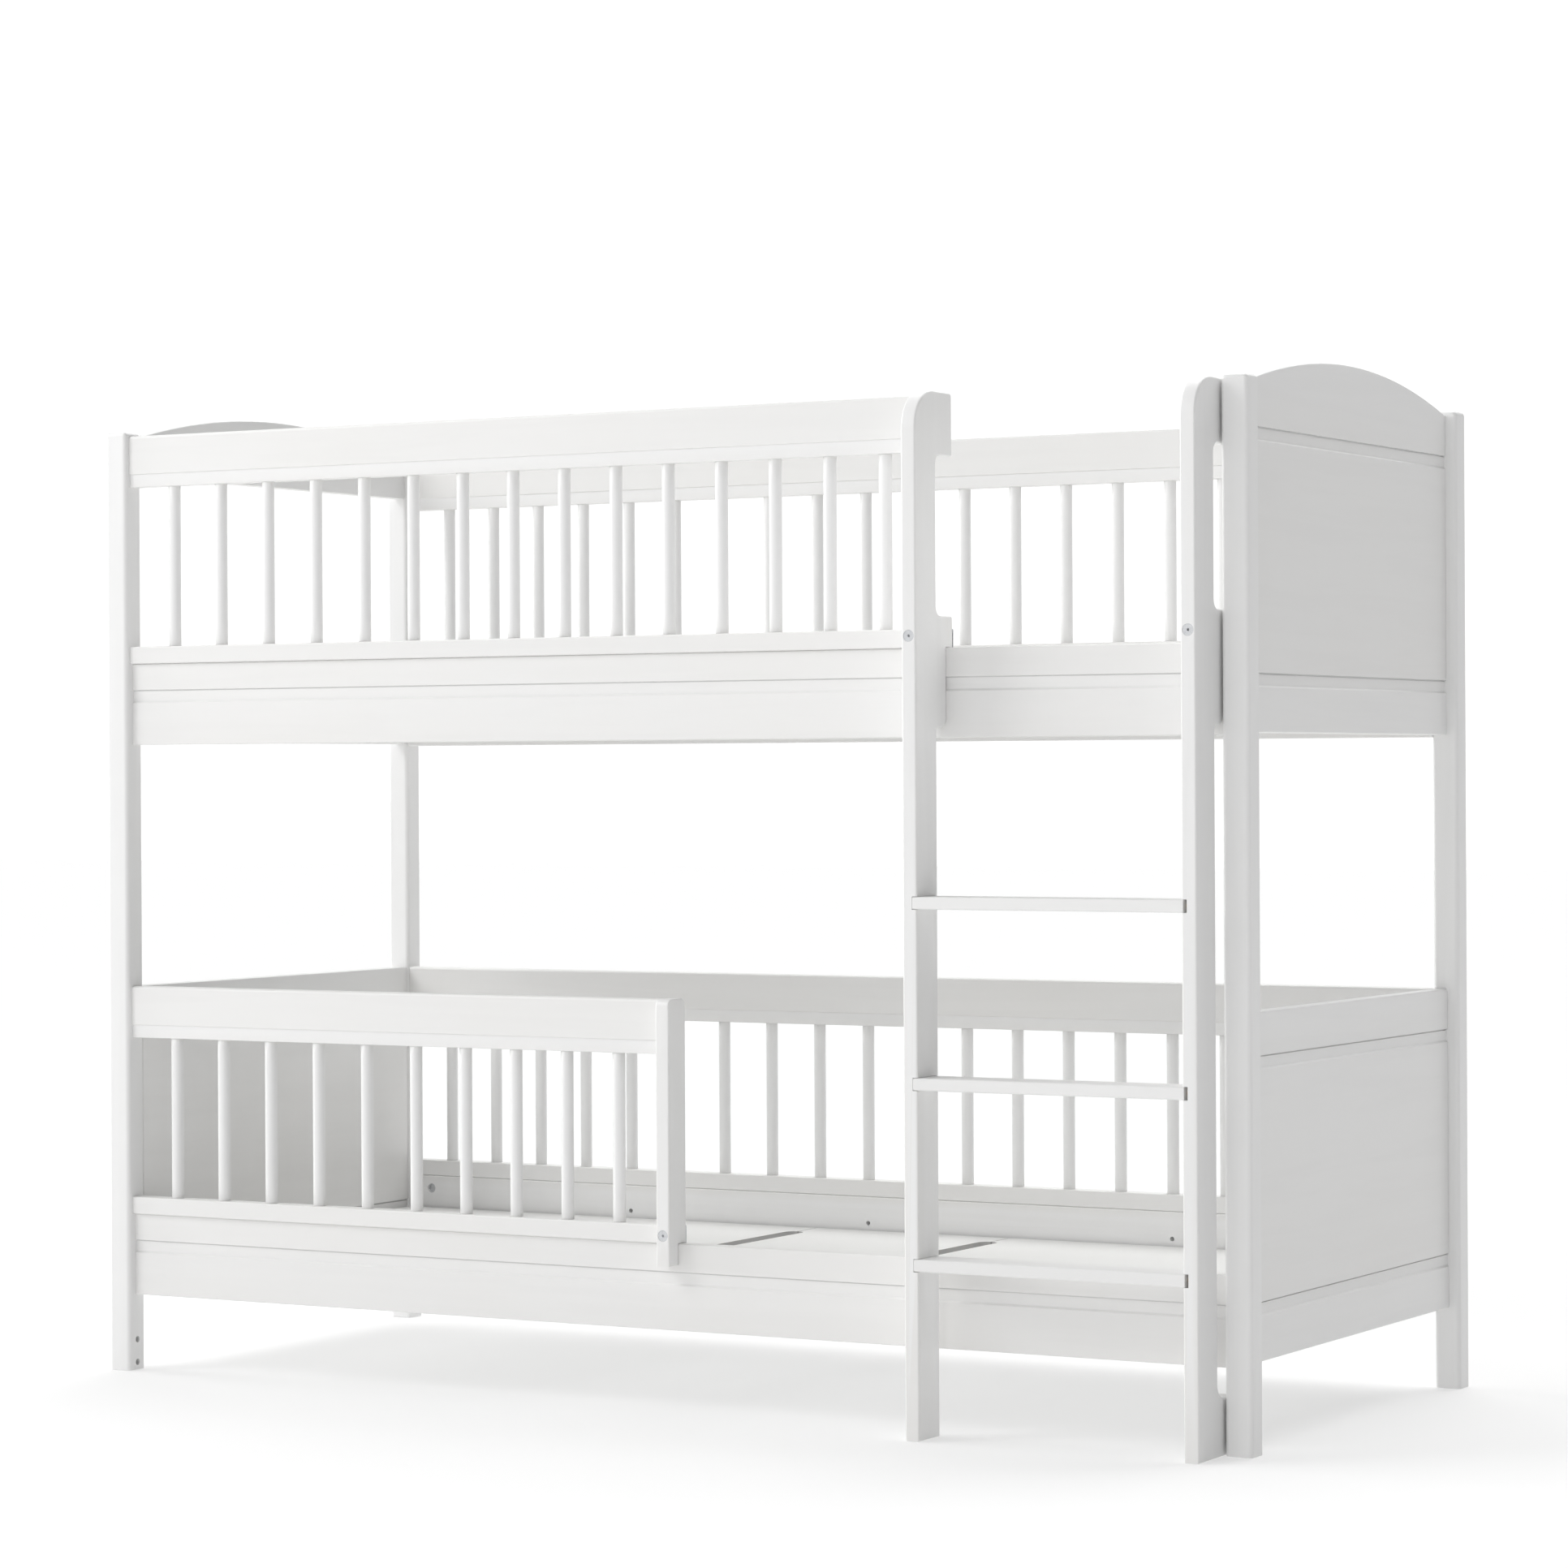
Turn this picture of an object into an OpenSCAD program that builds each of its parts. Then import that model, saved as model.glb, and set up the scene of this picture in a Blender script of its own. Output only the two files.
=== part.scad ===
// Child's bunk bed: two decks between four full-height posts, turned-spindle guards,
// a short guard on the lower bunk and a ladder that clamps over the upper side rail.
// +X runs along the bed, +Y to the wall side, +Z up; origin under the middle of its footprint.

/* [Frame] */
// Overall length over the posts
bed_l = 1740; // [1450:5:2100]
// Overall width over the posts, front to wall side
bed_w = 740; // [620:5:900]
// Height of the four posts
post_h = 1320; // [1316:1:1400]
// Side of the square posts
post = 36; // [34:1:44]
// Rounding of the post's long edges
post_r = 6; // [2:0.5:8]
// Rounding over the top of the post
post_crown_r = 9; // [3:0.5:11]

/* [Decks] */
// Underside of the lower side rails above the floor
low_z = 106.5; // [90:0.5:240]
// Underside of the upper side rails above the floor
up_z = 880; // [860:0.5:884]
// Height of the side rails
rail_h = 114; // [95:1:116]
// Thickness of the side rails
rail_t = 20; // [18:0.5:20]
// Setback of a side rail's outer face from the post's outer face
rail_set = 14; // [12:0.5:15]
// Height of a deck's top face above the underside of its rails
deck_top = 66; // [50:1:80]
// Thickness of the deck boards
deck_t = 10; // [8:0.5:15]
// Place of the first joint between deck boards, from the middle of the bed
deck_cut_a = -116; // [-300:1:-60]
// Place of the second joint between deck boards, from the middle of the bed
deck_cut_b = 196; // [60:1:300]
// Gap between two deck boards where they meet
deck_gap = 1.5; // [1:0.5:4]
// Width of the air slot left in each joint
slot_w = 28; // [10:1:30]
// Length of board that closes an air slot at either end
slot_end = 58; // [40:1:120]
// Clearance between a deck and the frame around it
deck_clear = 6; // [6:0.5:9]
// Height of the ledger strips
ledger_h = 25; // [18:0.5:28]
// Depth of the ledger strips
ledger_d = 20; // [15:0.5:30]

/* [Guards] */
// Height of a guard's base rail
base_h = 24; // [20:0.5:30]
// Thickness of the guard rails
guard_t = 24; // [22:0.5:26]
// Setback of a guard's outer face from the post's outer face
guard_set = 8.5; // [6:0.5:9]
// Visible height of the spindles
spindle_h = 224; // [180:1:226]
// Diameter of the spindles
spindle_d = 17; // [12:0.5:20]
// Distance from spindle to spindle
spindle_pitch = 80.4; // [60:0.1:90]
// Depth of a spindle's socket
socket = 13; // [8:0.5:14]
// Height of a guard's top rail
top_h = 72; // [60:1:73]
// Length of the lower bunk's front guard, post to newel
low_guard_l = 868; // [500:1:900]

/* [Profiles] */
// Width of the sunk bands run along rails and end panels
band = 18; // [12:0.5:20]
// Depth of the sunk bands
band_deep = 2.5; // [1:0.25:4]
// Thickness of the end panels
gable_t = 19; // [15:0.5:20]
// Setback of an end panel's outer face from the post's outer face
gable_set = 15; // [10:0.5:16]
// Radius of the arch on the upper end panels
arch_r = 1355; // [1000:5:2500]

/* [Ladder] */
// Overall width of the ladder
ladder_w = 400; // [340:1:480]
// Thickness of the ladder's uprights
upright_t = 20; // [18:0.5:24]
// Depth of an upright below the hook
upright_d = 57; // [48:0.5:60]
// Distance the ladder stands out in front of the posts
ladder_out = 70; // [64:0.5:80]
// Height of the ladder's top
ladder_h = 1316; // [1290:1:1320]
// Rounding at the front of the ladder's top
ladder_r = 50; // [20:1:56]
// Space between the ladder and the post beside it
ladder_gap = 3; // [2:0.5:6]
// Height of the first tread's top face
rung_z = 228; // [180:1:260]
// Distance from tread to tread
rung_pitch = 226.5; // [190:0.5:235]
// Thickness of the treads
rung_t = 16; // [14:0.5:20]
// Depth of the treads
rung_d = 50; // [40:0.5:55]
// Depth of a tread's housing in the upright
housing = 7; // [5:0.5:8]

/* [Fittings] */
// Diameter of the connecting bolts
bolt_d = 6; // [5:0.5:8]
// Diameter of the barrel nuts in the side rails
barrel_d = 14; // [12:0.5:15]
// Distance of a barrel nut from the rail's end
barrel_in = 40; // [30:1:50]
// Diameter of a clamp bolt's flat head
head_d = 15; // [13:0.5:17]
// Diameter of the wooden dowels
dowel_d = 8; // [6:0.5:8]
// Radial clearance of a pin or spindle in its hole
fit = 0.05; // [0.02:0.01:0.1]

/* [Hidden] */
$fn = 48;
total_d = bed_w + ladder_out;
x0 = -bed_l / 2;                        // outer face of the left posts
y0 = ladder_out - total_d / 2;          // outer face of the front posts
y_mid = y0 + bed_w / 2;                 // middle of the bed itself
clear_l = bed_l - 2 * post;             // between the posts, along the bed
clear_w = bed_w - 2 * post;             // between the posts, across the bed
rail_y = y0 + rail_set;                 // outer face of the front side rails
rail_in = rail_y + rail_t;              // inner face of the front side rails
guard_y = y0 + guard_set;
guard_mid = guard_y + guard_t / 2;
gable_x = x0 + gable_set;
gable_in = gable_x + gable_t;
guard_h = base_h + spindle_h + top_h;
n_full = floor(clear_l / spindle_pitch);
spindle_x0 = x0 + post + (clear_l - (n_full - 1) * spindle_pitch) / 2;
ladder_x1 = bed_l / 2 - post - ladder_gap;
ladder_x0 = ladder_x1 - ladder_w;
up_guard_l = ladder_x0 - x0 - post;
hook_z = up_z + rail_h;                 // the hooks rest on the upper rail
clamp_z = hook_z + 13;
newel_x = x0 + post + low_guard_l;
newel_base = low_z + rail_h;            // the newel stands on the lower rail
newel_top = newel_base + guard_h + 1;
newel_out = 10;
newel_clamp_z = newel_base + 12;
plate_t = 2;
nut_t = 3;
stud_z = [20, rail_h - 19];             // heights of the bolts above a rail's underside
stud_len = post - 14 + barrel_in;
foot_hole_z = [11, 43];
foot_hole_y = 18;
foot_hole_d = 9;
foot_hole_deep = 24;
gable_dowel_z = [60, 200, 330];         // above an end panel's underside
head_z = rail_h + base_h + spindle_h + band;  // underside of the open end's head board
open_dowel_z = [30, rail_h - 46, head_z + 17];  // the same for the open end's two boards
gable_dowel_l = 36;
guard_dowel_l = 28;
band_z = deck_top - 7;                  // lower edge of the side rail's band

PAINT = [0.94, 0.94, 0.93];
BOARD = [0.93, 0.92, 0.90];
STEEL = [0.62, 0.63, 0.65];
BEECH = [0.85, 0.72, 0.52];

// ---- placing: every piece is drawn for the front or the left and mirrored from there
module to_rear() {
  translate([0, 2 * y_mid, 0]) mirror([0, 1, 0]) children();
}

module to_right() {
  mirror([1, 0, 0]) children();
}

// bar with its length along +X, from a profile in (y, z)
module along_x(len) {
  rotate([90, 0, 90]) linear_extrude(len) children();
}

// plate standing across the bed, from a profile in (y, z)
module plate_x(t) {
  rotate([90, 0, 90]) linear_extrude(t) children();
}

// round bar or hole along X, +Y or +Z
module rod_x(d, l) {
  rotate([0, 90, 0]) cylinder(d = d, h = l);
}

module rod_y(d, l) {
  rotate([-90, 0, 0]) cylinder(d = d, h = l);
}

// rectangle with its four corners rounded
module soft_rect(w, h, r) {
  translate([r, 0]) square([w - 2 * r, h]);
  translate([0, r]) square([w, h - 2 * r]);
  for (x = [r, w - r], y = [r, h - r]) translate([x, y]) circle(r);
}

// rectangle with only its two upper corners rounded
module crown_rect(w, h, r) {
  square([w, h - r]);
  translate([r, 0]) square([w - 2 * r, h]);
  for (x = [r, w - r]) translate([x, h - r]) circle(r);
}

// filling for an inside corner at the origin, opening to +x and +y
module cove(r) {
  difference() {
    translate([-1, -1]) square(r + 1);
    translate([r, r]) circle(r);
  }
}

// ---- posts
module post_holes(open_end) {
  // bolts of the side rails
  for (z = [low_z, up_z], s = stud_z)
    translate([x0 + 14, rail_y + rail_t / 2, z + s]) rod_x(bolt_d + 2 * fit, post);
  // dowels of the end panels
  for (z = [low_z, up_z], s = open_end && z == up_z ? open_dowel_z : gable_dowel_z)
    translate([gable_x + gable_t / 2, y0 + post - gable_dowel_l / 2 - 1, z + 3 + s])
      rod_y(dowel_d + 2 * fit, post);
}

module top_dowel_places(z) {
  for (s = [22, 54]) translate([0, guard_mid, z + rail_h + base_h + spindle_h + s]) children();
}

module guard_dowel_places(z) {
  translate([0, guard_mid, z + rail_h + base_h / 2]) children();
  top_dowel_places(z) children();
}

module post_blank() {
  intersection() {
    translate([x0, y0, 0]) linear_extrude(post_h) soft_rect(post, post, post_r);
    translate([x0, y0 + post + 1, 0]) rotate([90, 0, 0])
      linear_extrude(post + 2) crown_rect(post, post_h, post_crown_r);
    translate([x0 - 1, y0, 0]) along_x(post + 2) crown_rect(post, post_h, post_crown_r);
  }
}

module bed_post(low_guard = true, up_guard = true, foot = false, open_end = false) {
  color(PAINT) difference() {
    post_blank();
    post_holes(open_end);
    if (low_guard) guard_dowel_places(low_z)
      translate([x0 + post - guard_dowel_l / 2 - 1, 0, 0]) rod_x(dowel_d + 2 * fit, post);
    if (up_guard) guard_dowel_places(up_z)
      translate([x0 + post - guard_dowel_l / 2 - 1, 0, 0]) rod_x(dowel_d + 2 * fit, post);
    if (foot) for (z = foot_hole_z)
      translate([x0 + post - foot_hole_deep, y0 + foot_hole_y, z]) rod_x(foot_hole_d, post);
  }
}

module post_front_left() { bed_post(foot = true, open_end = true); }
module post_front_right() { to_right() bed_post(low_guard = false, up_guard = false, foot = true); }
module post_rear_left() { to_rear() bed_post(open_end = true); }
module post_rear_right() { to_right() to_rear() bed_post(); }

// ---- end panels
module gable_bands(z) {
  // the two sunk bands line up with the side rail's band and the guard's lower edge
  for (s = [band_z, rail_h + base_h + spindle_h])
    translate([gable_x - 1, y0, z + s]) cube([band_deep + 1, bed_w, band]);
  for (s = [band_z, rail_h + base_h + spindle_h])
    translate([gable_in - band_deep, y0, z + s]) cube([band_deep + 1, bed_w, band]);
}

module gable_holes(z, places = gable_dowel_z) {
  for (s = places) translate([gable_x + gable_t / 2, y0, z + 3 + s]) {
    rod_y(dowel_d + 2 * fit, post + gable_dowel_l / 2 + 1);
    translate([0, bed_w - post - gable_dowel_l / 2 - 1, 0]) rod_y(dowel_d + 2 * fit, post * 2);
  }
}

module gable_lower() {
  h = rail_h + guard_h - 3;
  color(PAINT) difference() {
    translate([gable_x, y0 + post, low_z + 3]) plate_x(gable_t) crown_rect(clear_w, h, 5);
    gable_bands(low_z);
    gable_holes(low_z);
  }
}

// board with an arched top, from a height above the upper rails' underside
module arch_plate(from) {
  shoulder = post_h - 5.5 - up_z - from;
  sag = arch_r - sqrt(arch_r * arch_r - clear_w * clear_w / 4);
  translate([gable_x, y0 + post, up_z + from]) plate_x(gable_t) intersection() {
    square([clear_w, shoulder + sag]);
    translate([clear_w / 2, shoulder + sag - arch_r]) circle(arch_r, $fn = 360);
  }
}

module gable_upper() {
  color(PAINT) difference() {
    arch_plate(3);
    gable_bands(up_z);
    gable_holes(up_z);
  }
}

// the end away from the ladder is open: an arched head board above, a low board level with the rails
module gable_head() {
  color(PAINT) difference() {
    arch_plate(head_z);
    gable_holes(up_z, open_dowel_z);
  }
}

module endboard() {
  color(PAINT) difference() {
    translate([gable_x, y0 + post, up_z + 3]) plate_x(gable_t) crown_rect(clear_w, rail_h - 3, 5);
    gable_bands(up_z);
    gable_holes(up_z, open_dowel_z);
  }
}

module gable_lower_left() { gable_lower(); }
module gable_lower_right() { to_right() gable_lower(); }
module gable_upper_left() { gable_head(); }
module endboard_upper_left() { endboard(); }
module gable_upper_right() { to_right() gable_upper(); }

// ---- side rails
module spare_holes() {
  // small holes above the deck for the ledger's second height
  for (x = [-437, -35, 446]) translate([x, rail_in - 12, low_z + 76]) rod_y(6.5, 20);
}

module side_rail(z, spare = false) {
  color(PAINT) difference() {
    translate([x0 + post, rail_y, z]) along_x(clear_l) soft_rect(rail_t, rail_h, 2);
    translate([x0, rail_y - 1, z + band_z]) cube([bed_l, band_deep + 1, band]);
    for (s = stud_z, k = [0, 1]) mirror([k, 0, 0]) {
      translate([x0, rail_y + rail_t / 2, z + s])
        rod_x(bolt_d + 2 * fit, post + barrel_in);
      translate([x0 + post + barrel_in, rail_in - 16, z + s]) rod_y(barrel_d + 2 * fit, 20);
    }
    for (x = ledger_screw_x())
      translate([x, rail_in - 14, z + ledger_screw_z]) rod_y(4 + 2 * fit, 20);
    if (spare) spare_holes();
  }
}

module rail_lower_front() { side_rail(low_z); }
module rail_lower_rear() { to_rear() side_rail(low_z, spare = true); }
module rail_upper_front() { side_rail(up_z); }
module rail_upper_rear() { to_rear() side_rail(up_z); }

// ---- ledgers, which carry the deck boards
ledger_len = clear_l - 8;
ledger_top = deck_top - deck_t - 0.4;
ledger_screw_z = ledger_top - ledger_h / 2;
function ledger_screw_x() = [for (i = [0:5]) (i - 2.5) * (ledger_len - 120) / 5];

module ledger(z) {
  color(PAINT) difference() {
    translate([-ledger_len / 2, rail_in, z + ledger_top - ledger_h])
      along_x(ledger_len) soft_rect(ledger_d, ledger_h, 1.5);
    for (x = ledger_screw_x()) translate([x, rail_in - 1, z + ledger_screw_z]) {
      rod_y(4 + 2 * fit, ledger_d + 2);
      translate([0, ledger_d - 3, 0]) rod_y(8 + 2 * fit, 10);
    }
  }
}

module ledger_lower_front() { ledger(low_z); }
module ledger_lower_rear() { to_rear() ledger(low_z); }
module ledger_upper_front() { ledger(up_z); }
module ledger_upper_rear() { to_rear() ledger(up_z); }

// ---- deck boards, loose on the ledgers
deck_y = rail_in + deck_clear;
deck_w = 2 * (y_mid - deck_y);
deck_x = -gable_in - deck_clear - 0.5;

module deck_board(z, xa, xb) {
  color(BOARD) translate([0, deck_y, z + deck_top - deck_t]) linear_extrude(deck_t) difference() {
    translate([xa, 0]) soft_rect(xb - xa, deck_w, 4);
    for (x = [deck_cut_a, deck_cut_b])
      translate([x - slot_w / 2, slot_end]) soft_rect(slot_w, deck_w - 2 * slot_end, slot_w / 2 - 0.5);
  }
}

module deck_left(z) { deck_board(z, -deck_x, deck_cut_a - deck_gap / 2); }
module deck_mid(z) { deck_board(z, deck_cut_a + deck_gap / 2, deck_cut_b - deck_gap / 2); }
module deck_right(z) { deck_board(z, deck_cut_b + deck_gap / 2, deck_x); }

module deck_lower_left() { deck_left(low_z); }
module deck_lower_mid() { deck_mid(low_z); }
module deck_lower_right() { deck_right(low_z); }
module deck_upper_left() { deck_left(up_z); }
module deck_upper_mid() { deck_mid(up_z); }
module deck_upper_right() { deck_right(up_z); }

// ---- guards: base rail, spindles and top rail
function spindle_xs(len) = [for (i = [0:n_full - 1])
  let (x = spindle_x0 + i * spindle_pitch)
    if (x + spindle_d / 2 + 6 < x0 + post + len) x];

module spindle_row(z, len, d, extra) {
  for (x = spindle_xs(len))
    translate([x, guard_mid, z + rail_h + base_h - socket - extra])
      cylinder(d = d, h = spindle_h + 2 * socket + 2 * extra);
}

// a full-length guard is dowelled alike at both posts; where a short one meets the newel or
// the ladder, its base rail has no dowel, because the clamp bolt passes there
module far_dowel_places(z, len) {
  if (len < clear_l) top_dowel_places(z) children();
  if (len >= clear_l) guard_dowel_places(z) children();
}

module guard_end_holes(z, len) {
  guard_dowel_places(z) translate([x0, 0, 0]) rod_x(dowel_d + 2 * fit, post + guard_dowel_l / 2 + 1);
  far_dowel_places(z, len)
    translate([x0 + post + len - guard_dowel_l / 2 - 1, 0, 0]) rod_x(dowel_d + 2 * fit, post);
}

module guard_base(z, len) {
  color(PAINT) difference() {
    translate([x0 + post, guard_y, z + rail_h]) along_x(len) soft_rect(guard_t, base_h, 2);
    spindle_row(z, len, spindle_d + 2 * fit, 1);
    guard_end_holes(z, len);
  }
}

module guard_top(z, len) {
  color(PAINT) difference() {
    translate([x0 + post, guard_y, z + rail_h + base_h + spindle_h]) along_x(len)
      difference() {
        crown_rect(guard_t, top_h, 4);
        translate([-1, -1]) square([3, band]);
        translate([guard_t - 2, -1]) square([3, band]);
      }
    spindle_row(z, len, spindle_d + 2 * fit, 1);
    guard_end_holes(z, len);
  }
}

module guard_spindles(z, len) {
  color(PAINT) spindle_row(z, len, spindle_d, 0);
}

module base_lower_front() { guard_base(low_z, low_guard_l); }
module base_lower_rear() { to_rear() guard_base(low_z, clear_l); }
module base_upper_front() { guard_base(up_z, up_guard_l); }
module base_upper_rear() { to_rear() guard_base(up_z, clear_l); }
module spindles_lower_front() { guard_spindles(low_z, low_guard_l); }
module spindles_lower_rear() { to_rear() guard_spindles(low_z, clear_l); }
module spindles_upper_front() { guard_spindles(up_z, up_guard_l); }
module spindles_upper_rear() { to_rear() guard_spindles(up_z, clear_l); }
module top_lower_front() { guard_top(low_z, low_guard_l); }
module top_lower_rear() { to_rear() guard_top(low_z, clear_l); }
module top_upper_front() { guard_top(up_z, up_guard_l); }
module top_upper_rear() { to_rear() guard_top(up_z, clear_l); }

// ---- newel: stands on the lower rail, laps its face and ends the short guard
module newel() {
  back = rail_in - y0;
  color(PAINT) difference() {
    translate([newel_x, y0, 0]) plate_x(upright_t) {
      translate([-newel_out, newel_base]) crown_rect(newel_out + back, newel_top - newel_base, 9);
      translate([-newel_out, newel_base - 28]) square([newel_out + rail_set, 40]);
    }
    translate([newel_x - 1, 0, 0]) top_dowel_places(low_z) rod_x(dowel_d + 2 * fit, guard_dowel_l / 2 + 1);
    clamp_hole(newel_x, -newel_out, newel_clamp_z);
  }
}

// hole for a clamp bolt, with the head's seat, from the front edge of an upright
module clamp_hole(x, front, z) {
  translate([x + upright_t / 2, y0 + front - 1, z]) {
    rod_y(bolt_d + 2 * fit, 400);
    rod_y(head_d + 2 * fit, 4);
  }
}

// ---- ladder
module upright_outline(foot) {
  leg_y = upright_d - ladder_out;       // rear edge of the leg
  hook_y = rail_in - y0 - 2;            // rear edge of head and hook
  head_z = ladder_h - 80;
  hook_top = hook_z + 40;
  lap_z = hook_z - 102;
  // leg and rounded head
  translate([-ladder_out, 0]) square([upright_d, ladder_h - ladder_r]);
  difference() {
    translate([-ladder_out, head_z]) crown_rect(ladder_out + hook_y, ladder_h - head_z, 4);
    translate([-ladder_out - 1, ladder_h - ladder_r]) square(ladder_r + 1);
  }
  translate([-ladder_out, ladder_h - ladder_r]) intersection() {
    square(ladder_r + 1);
    translate([ladder_r, 0]) circle(ladder_r, $fn = 96);
  }
  // hook over the rail and lap in front of it
  translate([-ladder_out, hook_z]) crown_rect(ladder_out + hook_y, hook_top - hook_z, 3);
  translate([-ladder_out, lap_z + 14]) square([ladder_out + rail_set, hook_z - lap_z]);
  translate([-ladder_out, lap_z]) square([ladder_out + rail_set - 14, 20]);
  translate([rail_set - 14, lap_z + 14]) circle(14);
  // coves of the grip and under the lap
  translate([leg_y, hook_top]) cove(12);
  translate([leg_y, head_z]) mirror([0, 1]) cove(12);
  translate([leg_y, lap_z]) mirror([0, 1]) cove(6);
  if (foot) {
    square([hook_y, 72]);
    translate([-ladder_out, 0]) square([ladder_out + 1, 72]);
    translate([leg_y, 72]) cove(18);
  }
}

module upright(x, foot) {
  color(PAINT) difference() {
    translate([x, y0, 0]) plate_x(upright_t) upright_outline(foot);
    clamp_hole(x, -ladder_out, clamp_z);
    rung_housings();
    rung_pins(dowel_d + 2 * fit, 1);
    if (!foot) translate([x - 1, 0, 0]) top_dowel_places(up_z)
      rod_x(dowel_d + 2 * fit, guard_dowel_l / 2 + 1);
    if (foot) for (z = foot_hole_z)
      translate([x - 1, y0 + foot_hole_y, z]) rod_x(foot_hole_d - 1.8, upright_t + 2);
  }
}

module upright_left() { upright(ladder_x0, false); }
module upright_right() { upright(ladder_x1 - upright_t, true); }

// a tread fills its housing on the left and stops short of the bottom of the right one
rung_gap = 5;
rung_xa = ladder_x0 + upright_t - housing;
rung_xb = ladder_x1 - upright_t + housing;

module rung_housings() {
  for (i = [0:2])
    translate([rung_xa, y0 - ladder_out - 1, rung_z + i * rung_pitch - rung_t - 0.3])
      cube([rung_xb - rung_xa, rung_d + 1.6, rung_t + 0.6]);
}

module rung_pins(d, extra) {
  for (i = [0:2], y = [14, 36], k = [0, 1])
    translate([k == 0 ? rung_xa - 10 - extra : rung_xb - rung_gap - 20 - extra,
               y0 - ladder_out + y, rung_z + i * rung_pitch - rung_t / 2])
      rod_x(d, (k == 0 ? 30 : 36) + 2 * extra - 1);
}

module rung(i) {
  color(PAINT) difference() {
    translate([rung_xa + 0.2, y0 - ladder_out, rung_z + i * rung_pitch - rung_t])
      along_x(rung_xb - rung_xa - rung_gap - 0.2) soft_rect(rung_d, rung_t, 2.5);
    rung_pins(dowel_d + 2 * fit, 1);
  }
}

module rung_1() { rung(0); }
module rung_2() { rung(1); }
module rung_3() { rung(2); }

// ---- fittings
module each_rail_end() {
  for (z = [low_z, up_z], s = stud_z, k = [0, 1])
    mirror([k, 0, 0]) {
      translate([0, 0, z + s]) children();
      to_rear() translate([0, 0, z + s]) children();
    }
}

// headless bolt from the post into the barrel nut
module rail_studs() {
  color(STEEL) each_rail_end()
    translate([x0 + 14.5, rail_y + rail_t / 2, 0]) rod_x(bolt_d, stud_len - 1);
}

// cross barrel in the rail's inner face, with a screwdriver slot
module rail_barrels() {
  color(STEEL) each_rail_end()
    translate([x0 + post + barrel_in, rail_in - 15.5, 0]) difference() {
      rod_y(barrel_d, 11);
      translate([-barrel_d, rail_t / 2 - rail_t + 15.5, 0]) rod_x(bolt_d + 2 * fit, 2 * barrel_d);
      translate([-barrel_d, 9.6, -0.8]) cube([2 * barrel_d, 3, 1.6]);
    }
}

// x of the upright's left face, front edge, height and depth of wood that a clamp bolt passes
clamps = [
  [newel_x, -newel_out, newel_clamp_z, rail_in - y0],
  [ladder_x0, -ladder_out, clamp_z, rail_in - y0 - 2],
  [ladder_x1 - upright_t, -ladder_out, clamp_z, rail_in - y0 - 2]
];

module clamp_bolts() {
  color(STEEL) for (c = clamps) translate([c[0] + upright_t / 2, y0 + c[1], c[2]]) difference() {
    union() {
      translate([0, 0.6, 0]) rod_y(head_d, 2.4);
      rod_len = max(c[3], rail_in - y0) - c[1] + plate_t + nut_t - 1.2;
      translate([0, 1, 0]) rod_y(bolt_d, rod_len);
    }
    rod_y(4, 3, $fn = 6);
  }
}

// plate on the wall side that hooks the newel and ladder to the rail's inner face
module clamp_plates() {
  color(STEEL) for (c = clamps)
    translate([c[0], y0 + max(c[3], rail_in - y0) + 0.1, c[2]]) difference() {
      translate([1, 0, -38]) rotate([90, 0, 0]) mirror([0, 0, 1])
        linear_extrude(plate_t) soft_rect(upright_t - 2, 50, 3);
      translate([upright_t / 2, -5, 0]) rod_y(bolt_d + 2 * fit, 20);
    }
}

module clamp_nuts() {
  color(STEEL) for (c = clamps)
    translate([c[0] + upright_t / 2, y0 + max(c[3], rail_in - y0) + 0.1 + plate_t, c[2]])
      difference() {
        rod_y(10, nut_t, $fn = 6);
        translate([0, -1, 0]) rod_y(bolt_d + 2 * fit, 10);
      }
}

// two bolts hold the ladder's foot to the post, over spacers
module foot_bolts() {
  color(STEEL) for (z = foot_hole_z)
    translate([ladder_x1 - upright_t - 3.5, y0 + foot_hole_y, z]) {
      rod_x(foot_hole_d + 3, 3.5);
      rod_x(foot_hole_d - 1.9, 3.5 + upright_t + ladder_gap + foot_hole_deep - 4);
    }
}

module foot_spacers() {
  color(STEEL) for (z = foot_hole_z)
    translate([ladder_x1, y0 + foot_hole_y, z]) difference() {
      rod_x(16, ladder_gap);
      translate([-1, 0, 0]) rod_x(foot_hole_d - 1.8, ladder_gap + 2);
    }
}

// glued dowels between posts and end panels
module gable_dowels() {
  color(BEECH) for (z = [low_z, up_z], k = [0, 1], s = k == 0 && z == up_z ? open_dowel_z : gable_dowel_z)
    mirror([k, 0, 0]) {
      translate([gable_x + gable_t / 2, y0 + post - gable_dowel_l / 2, z + 3 + s])
        rod_y(dowel_d, gable_dowel_l);
      to_rear() translate([gable_x + gable_t / 2, y0 + post - gable_dowel_l / 2, z + 3 + s])
        rod_y(dowel_d, gable_dowel_l);
    }
}

// dowels in the guard rails' ends, at the posts, the newel and the ladder
module guard_dowel_set(z, len, far) {
  guard_dowel_places(z) translate([x0 + post - guard_dowel_l / 2, 0, 0]) rod_x(dowel_d, guard_dowel_l);
  far_dowel_places(z, len) translate([x0 + post + len - guard_dowel_l / 2, 0, 0]) rod_x(dowel_d, far);
}

module guard_dowels() {
  color(BEECH) {
    guard_dowel_set(low_z, low_guard_l, guard_dowel_l - 1);
    guard_dowel_set(up_z, up_guard_l, guard_dowel_l - 1);
    to_rear() guard_dowel_set(low_z, clear_l, guard_dowel_l);
    to_rear() guard_dowel_set(up_z, clear_l, guard_dowel_l);
  }
}

module rung_dowels() {
  color(BEECH) rung_pins(dowel_d, 0);
}

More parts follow.
